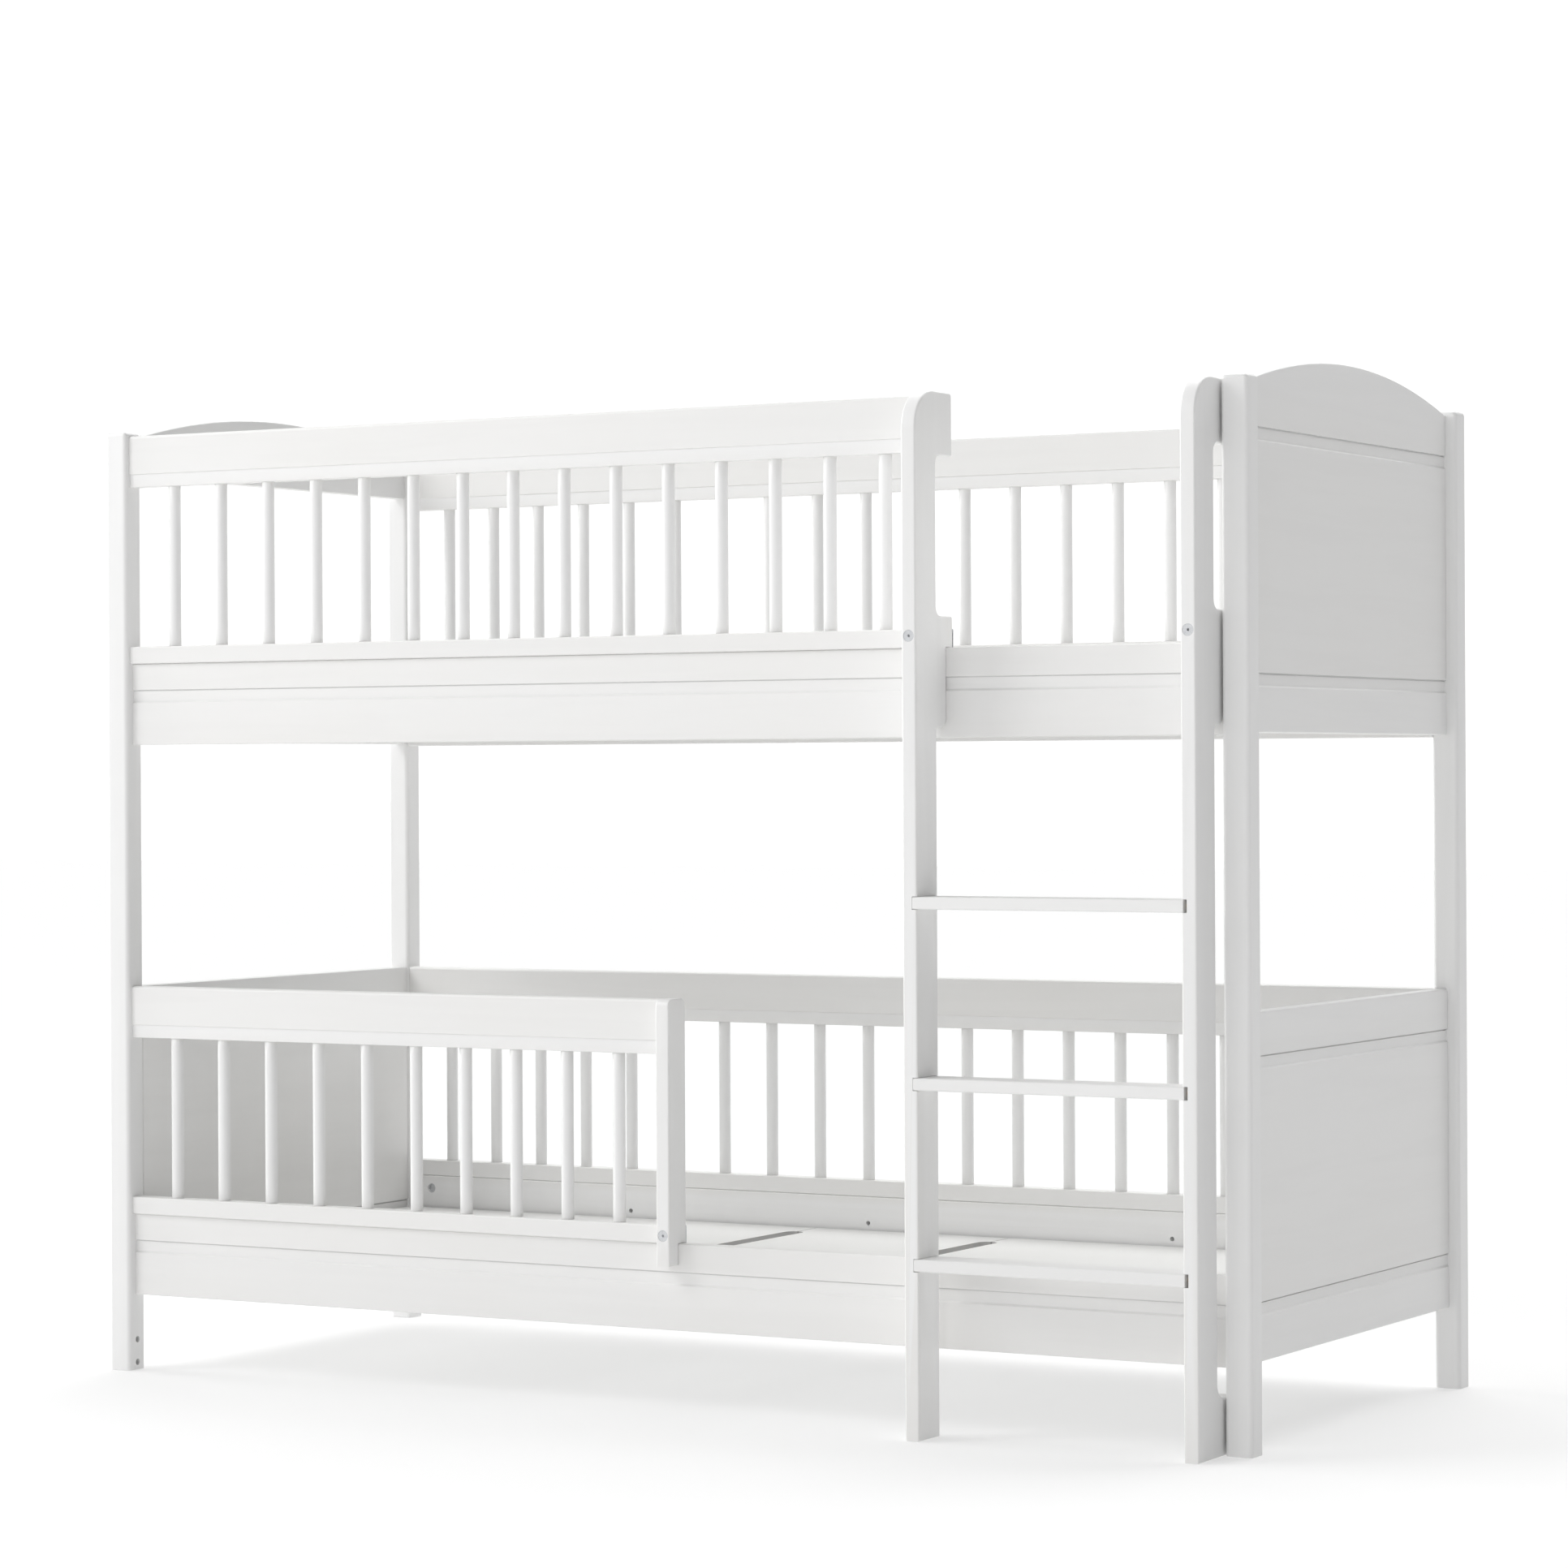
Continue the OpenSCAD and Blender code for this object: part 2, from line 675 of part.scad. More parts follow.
module ledger_screws() {
  head_y = 13 + ledger_d - 4 + fit;
  color(STEEL) for (z = [low_z, up_z], x = ledger_screw_x(), k = [0, 1])
    translate([0, k * 2 * y_mid, 0]) mirror([0, k, 0])
      translate([x, rail_in - 13, z + ledger_screw_z]) {
        rod_y(4, head_y + 1);
        translate([0, head_y, 0]) difference() {
          rod_y(8, 3);
          translate([-4, 1.8, -0.5]) cube([8, 3, 1]);
        }
      }
}

post_front_left();
post_front_right();
post_rear_left();
post_rear_right();
gable_lower_left();
gable_lower_right();
gable_upper_left();
gable_upper_right();
endboard_upper_left();
rail_lower_front();
rail_lower_rear();
rail_upper_front();
rail_upper_rear();
ledger_lower_front();
ledger_lower_rear();
ledger_upper_front();
ledger_upper_rear();
base_lower_front();
base_lower_rear();
base_upper_front();
base_upper_rear();
spindles_lower_front();
spindles_lower_rear();
spindles_upper_front();
spindles_upper_rear();
top_lower_front();
top_lower_rear();
top_upper_front();
top_upper_rear();
newel();
upright_left();
upright_right();
rung_1();
rung_2();
rung_3();
deck_lower_left();
deck_lower_mid();
deck_lower_right();
deck_upper_left();
deck_upper_mid();
deck_upper_right();
rail_studs();
rail_barrels();
clamp_bolts();
clamp_plates();
clamp_nuts();
foot_bolts();
foot_spacers();
gable_dowels();
guard_dowels();
rung_dowels();
ledger_screws();
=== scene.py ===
import bmesh
import bpy
from math import cos, pi, radians, sin
from mathutils import Matrix, Vector


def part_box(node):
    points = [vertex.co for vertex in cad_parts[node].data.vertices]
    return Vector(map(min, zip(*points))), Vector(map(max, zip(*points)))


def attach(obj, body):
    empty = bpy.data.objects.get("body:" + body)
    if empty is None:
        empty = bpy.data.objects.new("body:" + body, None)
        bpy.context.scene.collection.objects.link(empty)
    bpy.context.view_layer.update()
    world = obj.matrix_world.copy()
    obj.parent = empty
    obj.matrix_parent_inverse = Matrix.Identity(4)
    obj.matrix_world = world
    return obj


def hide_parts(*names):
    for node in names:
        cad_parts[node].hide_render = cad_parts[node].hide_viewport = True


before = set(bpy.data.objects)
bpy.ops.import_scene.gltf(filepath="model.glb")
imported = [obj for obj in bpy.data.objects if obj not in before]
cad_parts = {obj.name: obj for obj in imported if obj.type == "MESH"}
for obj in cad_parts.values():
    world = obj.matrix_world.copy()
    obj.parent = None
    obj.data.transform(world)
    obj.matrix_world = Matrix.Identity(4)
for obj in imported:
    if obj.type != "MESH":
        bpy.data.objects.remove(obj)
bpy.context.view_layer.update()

# ---------------------------------------------------------------- camera
# A long lens at waist height, about 30 degrees round from the front, towards the ladder's end.
view_turn = radians(30.44)
view_dip = radians(0.15)
view_roll = radians(-0.28)
camera_data = bpy.data.cameras.new("camera")
camera_data.sensor_width = 36.0
camera_data.lens = 104.1
camera_data.shift_x = 0.0635
camera_data.clip_end = 60.0
camera = bpy.data.objects.new("camera", camera_data)
bpy.context.scene.collection.objects.link(camera)
camera.matrix_world = (
    Matrix.Translation((3.069, -5.431, 0.838))
    @ Matrix.Rotation(view_turn, 4, "Z")
    @ Matrix.Rotation(pi / 2 - view_dip, 4, "X")
    @ Matrix.Rotation(view_roll, 4, "Z")
)
bpy.context.scene.camera = camera

# ---------------------------------------------------------------- white lacquer
# Every wooden piece is sprayed with the same satin white lacquer. A little of the pine's grain
# shows through as relief, the film is a touch thinner on the edges, and fine dust nibs stay in it.
white_paint = (0.87, 0.87, 0.868, 1)
# numbers of a colour Mix node's sockets: the two colours that go in, and the one that comes out
colour_a, colour_b, colour_out = 6, 7, 2


def group_socket(tree, name, kind, value=None, way="INPUT"):
    """A named input or output of a node group."""
    socket = tree.interface.new_socket(name=name, in_out=way, socket_type=kind)
    if value is not None:
        socket.default_value = value
    return socket


def node_of(tree, kind, values=None, **settings):
    """A node with its settings, and its inputs set to values or linked from sockets."""
    node = tree.nodes.new(kind)
    for name, value in settings.items():
        setattr(node, name, value)
    for key, value in (values or {}).items():
        if isinstance(value, bpy.types.NodeSocket):
            tree.links.new(value, node.inputs[key])
        else:
            node.inputs[key].default_value = value
    return node


def make_lacquer_group():
    """The effect that all the lacquers share: paint, satin and relief over the wood's fibres."""
    tree = bpy.data.node_groups.new("sprayed lacquer", "ShaderNodeTree")
    group_socket(tree, "Vector", "NodeSocketVector")
    group_socket(tree, "Paint", "NodeSocketColor", white_paint)
    group_socket(tree, "Thin Paint", "NodeSocketColor", (0.74, 0.72, 0.68, 1))
    group_socket(tree, "Grain Relief", "NodeSocketFloat", 0.5)
    group_socket(tree, "Gloss Change", "NodeSocketFloat", 0.08)
    group_socket(tree, "Color", "NodeSocketColor", way="OUTPUT")
    group_socket(tree, "Roughness", "NodeSocketFloat", way="OUTPUT")
    group_socket(tree, "Height", "NodeSocketFloat", way="OUTPUT")
    inside = tree.nodes.new("NodeGroupInput").outputs
    # long fibres: noise drawn out along the grain, in two sizes
    broad = node_of(tree, "ShaderNodeTexNoise", {"Vector": inside["Vector"], "Scale": 38.0,
                                                 "Detail": 4.0, "Roughness": 0.55, "Distortion": 0.6})
    fine = node_of(tree, "ShaderNodeTexNoise", {"Vector": inside["Vector"], "Scale": 170.0,
                                                "Detail": 3.0, "Roughness": 0.6})
    fibres = node_of(tree, "ShaderNodeMapRange", {"Value": broad.outputs["Fac"], "From Min": 0.42,
                                                  "From Max": 0.64}, interpolation_type="SMOOTHSTEP")
    pores = node_of(tree, "ShaderNodeMapRange", {"Value": fine.outputs["Fac"], "From Min": 0.55,
                                                 "From Max": 0.72})
    place = tree.nodes.new("ShaderNodeTexCoord")
    clouds = node_of(tree, "ShaderNodeTexNoise", {"Vector": place.outputs["Object"], "Scale": 3.1,
                                                  "Detail": 3.0})
    peel = node_of(tree, "ShaderNodeTexNoise", {"Vector": place.outputs["Object"], "Scale": 420.0,
                                                "Detail": 1.0})
    nibs = node_of(tree, "ShaderNodeTexVoronoi", {"Vector": place.outputs["Object"], "Scale": 70.0,
                                                  "Randomness": 1.0})
    nib_mask = node_of(tree, "ShaderNodeMapRange", {"Value": nibs.outputs["Distance"], "From Min": 0.05,
                                                    "From Max": 0.11, "To Min": 1.0, "To Max": 0.0})
    # edges, where the film pulls back
    shape = tree.nodes.new("ShaderNodeNewGeometry")
    edge = node_of(tree, "ShaderNodeMapRange", {"Value": shape.outputs["Pointiness"], "From Min": 0.515,
                                                "From Max": 0.60})
    rubbed = node_of(tree, "ShaderNodeMath", {0: edge.outputs["Result"], 1: clouds.outputs["Fac"]},
                     operation="MULTIPLY")
    worn = node_of(tree, "ShaderNodeMath", {0: rubbed.outputs["Value"], 1: 0.45}, operation="MULTIPLY")
    shade = node_of(tree, "ShaderNodeMapRange", {"Value": clouds.outputs["Fac"], "From Min": 0.3,
                                                 "From Max": 0.7, "To Min": 0.985, "To Max": 1.01})
    streak = node_of(tree, "ShaderNodeMapRange", {"Value": fibres.outputs["Result"], "To Min": 1.0,
                                                  "To Max": 0.985})
    tone = node_of(tree, "ShaderNodeMath", {0: shade.outputs["Result"], 1: streak.outputs["Result"]},
                   operation="MULTIPLY")
    paint = node_of(tree, "ShaderNodeVectorMath", {0: inside["Paint"]}, operation="SCALE")
    tree.links.new(tone.outputs["Value"], paint.inputs["Scale"])
    thinned = node_of(tree, "ShaderNodeMix", data_type="RGBA", blend_type="MIX")
    tree.links.new(worn.outputs["Value"], thinned.inputs["Factor"])
    tree.links.new(paint.outputs["Vector"], thinned.inputs[colour_a])
    tree.links.new(inside["Thin Paint"], thinned.inputs[colour_b])
    # satin: a little duller in the pores and where hands rub
    satin = node_of(tree, "ShaderNodeMath", {0: clouds.outputs["Fac"], 1: inside["Gloss Change"], 2: 0.36},
                    operation="MULTIPLY_ADD")
    gloss = node_of(tree, "ShaderNodeMath", {0: pores.outputs["Result"], 1: 0.06,
                                             2: satin.outputs["Value"]}, operation="MULTIPLY_ADD")
    # relief: fibres and pores sink, orange peel and nibs stand
    sunk = node_of(tree, "ShaderNodeMath", {0: pores.outputs["Result"], 1: -0.35,
                                            2: fibres.outputs["Result"]}, operation="MULTIPLY_ADD")
    grain = node_of(tree, "ShaderNodeMath", {0: sunk.outputs["Value"], 1: inside["Grain Relief"]},
                    operation="MULTIPLY")
    skin = node_of(tree, "ShaderNodeMath", {0: peel.outputs["Fac"], 1: 0.12, 2: grain.outputs["Value"]},
                   operation="MULTIPLY_ADD")
    relief = node_of(tree, "ShaderNodeMath", {0: nib_mask.outputs["Result"], 1: 0.10,
                                              2: skin.outputs["Value"]}, operation="MULTIPLY_ADD")
    out = tree.nodes.new("NodeGroupOutput").inputs
    tree.links.new(thinned.outputs[colour_out], out["Color"])
    tree.links.new(gloss.outputs["Value"], out["Roughness"])
    tree.links.new(relief.outputs["Value"], out["Height"])
    return tree


lacquer_group = make_lacquer_group()


def new_material(name):
    """A material with its node tree and its shader."""
    material = bpy.data.materials.new(name)
    material.use_nodes = True
    shader = material.node_tree.nodes["Principled BSDF"]
    return material, material.node_tree, shader


def make_lacquer(name, stretch, relief=0.5):
    """White lacquer over wood whose fibres run along the axis with the small stretch value."""
    material, tree, shader = new_material(name)
    place = tree.nodes.new("ShaderNodeTexCoord")
    along = node_of(tree, "ShaderNodeMapping", {"Vector": place.outputs["Object"], "Scale": stretch})
    film = tree.nodes.new("ShaderNodeGroup")
    film.node_tree = lacquer_group
    film.inputs["Paint"].default_value = white_paint
    film.inputs["Grain Relief"].default_value = relief
    tree.links.new(along.outputs["Vector"], film.inputs["Vector"])
    bump = node_of(tree, "ShaderNodeBump", {"Strength": 0.22, "Distance": 0.0004,
                                            "Height": film.outputs["Height"]})
    tree.links.new(film.outputs["Color"], shader.inputs["Base Color"])
    tree.links.new(film.outputs["Roughness"], shader.inputs["Roughness"])
    tree.links.new(bump.outputs["Normal"], shader.inputs["Normal"])
    shader.inputs["Specular IOR Level"].default_value = 0.45
    shader.inputs["Coat Weight"].default_value = 0.12
    shader.inputs["Coat Roughness"].default_value = 0.22
    return material


lacquer_along = make_lacquer("lacquer, grain along the bed", (0.06, 1.0, 1.0))
lacquer_upright = make_lacquer("lacquer, grain upright", (1.0, 1.0, 0.06))
lacquer_across = make_lacquer("lacquer, grain across the bed", (1.0, 0.06, 1.0), relief=0.32)

# ---------------------------------------------------------------- posts
# Four square posts run from the floor to the top in one piece. The long edges are rounded over
# with a router bit, the top is eased all round, and the foot is sawn square and barely chamfered.
MM = 0.001


def arc(cx, cy, r, start, end, steps=5):
    """Points on an arc, angles in degrees, both ends included."""
    turn = [radians(start + (end - start) * i / steps) for i in range(steps + 1)]
    return [(cx + r * cos(a), cy + r * sin(a)) for a in turn]


def rounded_box(lo, hi, r, steps=5):
    """Outline of a rectangle with four rounded corners."""
    (x0, y0), (x1, y1) = lo, hi
    return (arc(x1 - r, y0 + r, r, -90, 0, steps) + arc(x1 - r, y1 - r, r, 0, 90, steps)
            + arc(x0 + r, y1 - r, r, 90, 180, steps) + arc(x0 + r, y0 + r, r, 180, 270, steps))


AXES = {"x": lambda a, b, t: (t, a, b), "y": lambda a, b, t: (a, t, b), "z": lambda a, b, t: (a, b, t)}


def sweep(outline, axis, start, end):
    """An outline swept along an axis, with its two end faces."""
    bm = bmesh.new()
    place = AXES[axis]
    near = [bm.verts.new(place(a, b, start)) for a, b in outline]
    far = [bm.verts.new(place(a, b, end)) for a, b in outline]
    count = len(outline)
    first, last = bm.faces.new(near), bm.faces.new(far)
    for i in range(count):
        j = (i + 1) % count
        bm.faces.new((near[i], near[j], far[j], far[i]))
    bmesh.ops.recalc_face_normals(bm, faces=bm.faces)
    return bm, first, last


def stock(name, outline, axis, start, end, ease=0.0, ease_end=None, steps=3):
    """A length of wood: an outline swept along an axis, with its end edges eased."""
    bm, first, last = sweep(outline, axis, start, end)
    for face, width in ((first, ease), (last, ease if ease_end is None else ease_end)):
        if width > 0:
            bmesh.ops.bevel(bm, geom=list(face.edges), offset=width, segments=steps,
                            profile=0.5, affect="EDGES", clamp_overlap=True)
    mesh = bpy.data.meshes.new(name)
    bm.to_mesh(mesh)
    bm.free()
    piece = bpy.data.objects.new(name, mesh)
    bpy.context.scene.collection.objects.link(piece)
    return piece


def round_bar(start, direction, radius, length, sides=32):
    """A cutter or a peg: a closed cylinder from a point along a direction."""
    bm = bmesh.new()
    bmesh.ops.create_cone(bm, cap_ends=True, segments=sides, radius1=radius, radius2=radius, depth=length)
    direction = Vector(direction)
    turn = direction.to_track_quat("Z", "Y").to_matrix().to_4x4()
    shift = Matrix.Translation(Vector(start) + direction * (length / 2))
    bmesh.ops.transform(bm, matrix=shift @ turn, verts=bm.verts)
    return bm


def block(lo, hi):
    """A rectangular cutter between two corners."""
    bm = bmesh.new()
    bmesh.ops.create_cube(bm, size=1.0)
    lo, hi = Vector(lo), Vector(hi)
    size = Matrix.Diagonal((*(hi - lo), 1.0))
    bmesh.ops.transform(bm, matrix=Matrix.Translation((lo + hi) / 2) @ size, verts=bm.verts)
    return bm


def plain(piece):
    """Replaces a piece's mesh with its evaluated shape and drops its modifiers."""
    bpy.context.view_layer.update()
    shape = bpy.data.meshes.new_from_object(piece.evaluated_get(bpy.context.evaluated_depsgraph_get()))
    piece.modifiers.clear()
    old, piece.data = piece.data, shape
    bpy.data.meshes.remove(old)
    shape.name = piece.name
    return piece


def cut(piece, cutters):
    """Takes the cutters, given as bmeshes, out of a piece, as a router or drill does."""
    tools = []
    for bm in cutters:
        mesh = bpy.data.meshes.new("cutter")
        bm.to_mesh(mesh)
        bm.free()
        tool = bpy.data.objects.new("cutter", mesh)
        bpy.context.scene.collection.objects.link(tool)
        tools.append(tool)
        blade = piece.modifiers.new("cut", "BOOLEAN")
        blade.operation = "DIFFERENCE"
        blade.solver = "EXACT"
        blade.object = tool
    plain(piece)
    for tool in tools:
        mesh = tool.data
        bpy.data.objects.remove(tool)
        bpy.data.meshes.remove(mesh)
    return piece


def fit_out(piece, node, material, body="frame", crisp=40.0):
    """Shades and paints a piece and puts it in the place of its CAD node."""
    mesh = piece.data
    mesh.polygons.foreach_set("use_smooth", [True] * len(mesh.polygons))
    mesh.set_sharp_from_angle(angle=radians(crisp))
    even = piece.modifiers.new("even faces", "WEIGHTED_NORMAL")
    even.keep_sharp = True
    mesh.materials.clear()
    mesh.materials.append(material)
    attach(piece, body)
    if node:
        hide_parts(*([node] if isinstance(node, str) else node))
    return piece


post_round = 6 * MM
post_crown = 8 * MM
post_foot_ease = 1.2 * MM
foot_hole_heights = (11 * MM, 43 * MM)
foot_hole_radius = 4.5 * MM
foot_hole_depth = 24 * MM
post_low, post_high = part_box("post_front_left")
post_side = post_high.x - post_low.x
for side_name in ("front_left", "front_right", "rear_left", "rear_right"):
    lo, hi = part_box("post_" + side_name)
    post = stock("wood_post_" + side_name, rounded_box((lo.x, lo.y), (hi.x, hi.y), post_round), "z",
                 lo.z, hi.z, ease=post_foot_ease, ease_end=post_crown, steps=5)
    if side_name.startswith("front"):
        inner, way = (hi.x, 1) if side_name.endswith("left") else (lo.x, -1)
        cut(post, [round_bar((inner + way * MM, lo.y + post_side / 2, z), (-way, 0, 0), foot_hole_radius,
                             foot_hole_depth + MM) for z in foot_hole_heights])
    fit_out(post, "post_" + side_name, lacquer_upright)

# ---------------------------------------------------------------- end panels
# Solid panels close the ends between the posts; the one over the ladder end has an arched top.
# The other upper end is open, with an arched head board above and a low board level with the rails.
# Shallow bands are milled across both faces, in line with the side rails and the guards.
band_width = 18 * MM
band_depth = 2.5 * MM
kerf_depth = 5.5 * MM
kerf_width = 2.2 * MM
band_heights = (59 * MM, 362 * MM)
panel_ease = 2.2 * MM
panel_corner = 5 * MM
arch_radius = 1355 * MM
arch_steps = 40
rail_under = {"lower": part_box("rail_lower_front")[0].z, "upper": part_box("rail_upper_front")[0].z}


def panel_outline(lo, hi, arched):
    """Outline in (y, z): straight with small corners, or with an arched top."""
    foot = [(lo.y, lo.z), (hi.y, lo.z)]
    if not arched:
        r = panel_corner
        return foot + arc(hi.y - r, hi.z - r, r, 0, 90) + arc(lo.y + r, hi.z - r, r, 90, 180)
    middle, half = (lo.y + hi.y) / 2, (hi.y - lo.y) / 2
    across = [half * (1 - 2 * i / arch_steps) for i in range(arch_steps + 1)]
    return foot + [(middle + y, hi.z - arch_radius + (arch_radius**2 - y**2) ** 0.5) for y in across]


def band_mill(z):
    """Outline of the band's cutter, as (depth, height): a sloping lower wall, a flat, a kerf on top."""
    top = z + band_width
    return [(-MM, z - MM), (0, z), (band_depth, z + band_depth), (band_depth, top - kerf_width),
            (kerf_depth, top - kerf_width), (kerf_depth, top), (-MM, top)]


for node in ("gable_lower_left", "gable_lower_right", "gable_upper_left", "gable_upper_right",
             "endboard_upper_left"):
    lo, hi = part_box(node)
    outline = panel_outline(lo, hi, node.startswith("gable_upper"))
    panel = stock("panel_" + node, outline, "x", lo.x, hi.x, ease=panel_ease)
    grooves = []
    for rise in band_heights:
        z = rail_under[node.split("_")[1]] + rise
        if lo.z < z < hi.z:
            for face, way in ((lo.x, 1), (hi.x, -1)):
                mill = [(face + way * a, b) for a, b in band_mill(z)]
                grooves.append(sweep(mill, "y", lo.y - MM, hi.y + MM)[0])
    if grooves:
        cut(panel, grooves)
    fit_out(panel, node, lacquer_across)

# ---------------------------------------------------------------- side rails
# Deep rails join the posts at both levels, front and wall side. The milled band runs along the
# outer face, and round pockets near the ends of the inner face hold the barrel nuts. The lower
# wall-side rail also has three small spare holes.
rail_ease = 2 * MM
rail_kerf_depth = 3.6 * MM
rail_kerf_width = 1.2 * MM
rail_lip = 0.5 * MM
pocket_radius = 7 * MM
pocket_depth = 16 * MM
pocket_in = 40 * MM
pocket_heights = (20 * MM, 95 * MM)
spare_hole_places = (-437 * MM, -35 * MM, 446 * MM)
spare_hole_height = 76 * MM
spare_hole_radius = 3.25 * MM
spare_hole_depth = 12 * MM


def mirrored(points, rear, middle):
    """The front piece's outline as it is, or turned about the bed's middle for the wall side."""
    return [(2 * middle - a, b) for a, b in points] if rear else points


bed_middle = (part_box("rail_lower_front")[0].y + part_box("rail_lower_rear")[1].y) / 2
for level in ("lower", "upper"):
    for place in ("front", "rear"):
        node = f"rail_{level}_{place}"
        lo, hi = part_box(node)
        rear = place == "rear"
        y0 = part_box(f"rail_{level}_front")[0].y
        y1 = y0 + (hi.y - lo.y)
        band_foot = lo.z + band_heights[0]
        band_top = band_foot + band_width
        kerf_foot = band_top - rail_kerf_width
        r = rail_ease
        section = (arc(y1 - r, lo.z + r, r, -90, 0, 4) + arc(y1 - r, hi.z - r, r, 0, 90, 4)
                   + arc(y0 + r, hi.z - r, r, 90, 180, 4)
                   + [(y0, band_top + rail_lip), (y0 + rail_lip, band_top), (y0 + rail_kerf_depth, band_top),
                      (y0 + rail_kerf_depth, kerf_foot), (y0 + band_depth, kerf_foot),
                      (y0 + band_depth, band_foot + band_depth), (y0, band_foot)]
                   + arc(y0 + r, lo.z + r, r, 180, 270, 4))
        rail = stock("rail_board_" + node[5:], mirrored(section, rear, bed_middle), "x", lo.x, hi.x)
        inner, way = (lo.y, 1) if rear else (hi.y, -1)
        bores = [round_bar((x, inner - way * MM, lo.z + rise), (0, way, 0), pocket_radius, pocket_depth + MM)
                 for x in (lo.x + pocket_in, hi.x - pocket_in) for rise in pocket_heights]
        if node == "rail_lower_rear":
            bores += [round_bar((x, inner - way * MM, lo.z + spare_hole_height), (0, way, 0),
                                spare_hole_radius, spare_hole_depth + MM) for x in spare_hole_places]
        cut(rail, bores)
        fit_out(rail, node, lacquer_along)

# ---------------------------------------------------------------- guards
# Each guard is a base rail glued on the side rail, a row of plain turned spindles and a flat top
# rail whose lower edge is rebated on both faces.
spindle_radius = 8.5 * MM
base_ease = 2 * MM
top_ease = 4 * MM
top_lip = 0.6 * MM
rebate = 2 * MM
pitch = 80.4 * MM
glue_room = 0.1 * MM


def make_spindle_tree():
    """A row of round bars on a straight line, one for each place along the rail."""
    tree = bpy.data.node_groups.new("spindle row", "GeometryNodeTree")
    group_socket(tree, "Geometry", "NodeSocketGeometry")
    group_socket(tree, "Count", "NodeSocketInt", 10)
    group_socket(tree, "Pitch", "NodeSocketFloat", 0.08)
    group_socket(tree, "Radius", "NodeSocketFloat", 0.0085)
    group_socket(tree, "Height", "NodeSocketFloat", 0.25)
    group_socket(tree, "First", "NodeSocketVector")
    group_socket(tree, "Material", "NodeSocketMaterial")
    group_socket(tree, "Geometry", "NodeSocketGeometry", way="OUTPUT")
    inside = tree.nodes.new("NodeGroupInput").outputs
    step = node_of(tree, "ShaderNodeCombineXYZ", {"X": inside["Pitch"]})
    line = node_of(tree, "GeometryNodeMeshLine", {"Count": inside["Count"],
                                                  "Start Location": inside["First"],
                                                  "Offset": step.outputs["Vector"]})
    bar = node_of(tree, "GeometryNodeMeshCylinder", {"Vertices": 40, "Side Segments": 6,
                                                     "Radius": inside["Radius"],
                                                     "Depth": inside["Height"]})
    smooth = node_of(tree, "GeometryNodeSetShadeSmooth", {"Geometry": bar.outputs["Mesh"],
                                                          "Selection": bar.outputs["Side"]})
    row = node_of(tree, "GeometryNodeInstanceOnPoints", {"Points": line.outputs["Mesh"],
                                                         "Instance": smooth.outputs["Geometry"]})
    real = node_of(tree, "GeometryNodeRealizeInstances", {"Geometry": row.outputs["Instances"]})
    painted = node_of(tree, "GeometryNodeSetMaterial", {"Geometry": real.outputs["Geometry"],
                                                        "Material": inside["Material"]})
    tree.links.new(painted.outputs["Geometry"], tree.nodes.new("NodeGroupOutput").inputs["Geometry"])
    return tree


def grown(name, tree, values):
    """Runs a Geometry Nodes tree on a new object and keeps the plain mesh."""
    piece = bpy.data.objects.new(name, bpy.data.meshes.new(name))
    bpy.context.scene.collection.objects.link(piece)
    grow = piece.modifiers.new("grow", "NODES")
    grow.node_group = tree
    for item in tree.interface.items_tree:
        if item.item_type == "SOCKET" and item.in_out == "INPUT" and item.name in values:
            grow[item.identifier] = values[item.name]
    return plain(piece)


spindle_tree = make_spindle_tree()
for level in ("lower", "upper"):
    for place in ("front", "rear"):
        tag = f"{level}_{place}"
        rear = place == "rear"
        y0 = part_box(f"base_{level}_front")[0].y
        # base rail
        lo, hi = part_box("base_" + tag)
        section = rounded_box((lo.y, lo.z), (hi.y, hi.z), base_ease, 4)
        fit_out(stock("guard_base_" + tag, section, "x", lo.x, hi.x), "base_" + tag, lacquer_along)
        # top rail
        lo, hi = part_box("top_" + tag)
        y1 = y0 + (hi.y - lo.y)
        y2, y3 = y0 + rebate, y1 - rebate
        notch = lo.z + band_width
        r = top_ease
        section = ([(y2, lo.z + top_lip), (y2 + top_lip, lo.z), (y3 - top_lip, lo.z), (y3, lo.z + top_lip),
                    (y3, notch), (y1 - top_lip, notch), (y1, notch + top_lip)]
                   + arc(y1 - r, hi.z - r, r, 0, 90, 6) + arc(y0 + r, hi.z - r, r, 90, 180, 6)
                   + [(y0, notch + top_lip), (y0 + top_lip, notch), (y2, notch)])
        top = stock("guard_top_" + tag, mirrored(section, rear, bed_middle), "x", lo.x, hi.x)
        fit_out(top, "top_" + tag, lacquer_along)
        # spindles
        lo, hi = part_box("spindles_" + tag)
        span = hi.x - lo.x - 2 * spindle_radius
        row = grown("guard_spindles_" + tag, spindle_tree,
                    {"Count": round(span / pitch) + 1, "Pitch": pitch, "Radius": spindle_radius - 0.02 * MM,
                     "Height": hi.z - lo.z - glue_room, "Material": lacquer_upright,
                     "First": (lo.x + spindle_radius, (lo.y + hi.y) / 2, (lo.z + hi.z) / 2)})
        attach(row, "frame")
        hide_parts("spindles_" + tag)

# ---------------------------------------------------------------- newel
# A short upright ends the lower bunk's front guard. It stands on the side rail, laps down its
# front face, and has a rounded top; a clamp bolt passes through it just above the rail.
clamp_radius = 7.55 * MM
clamp_seat = 3 * MM
newel_ease = 2.2 * MM
newel_round = 10 * MM
newel_bolt_rise = 12 * MM


def clamp_seat_cutter(x, front, z):
    """The drill that sinks a clamp bolt's head into a board's front face."""
    return round_bar((x, front - MM, z), (0, 1, 0), clamp_radius, clamp_seat + MM, sides=40)


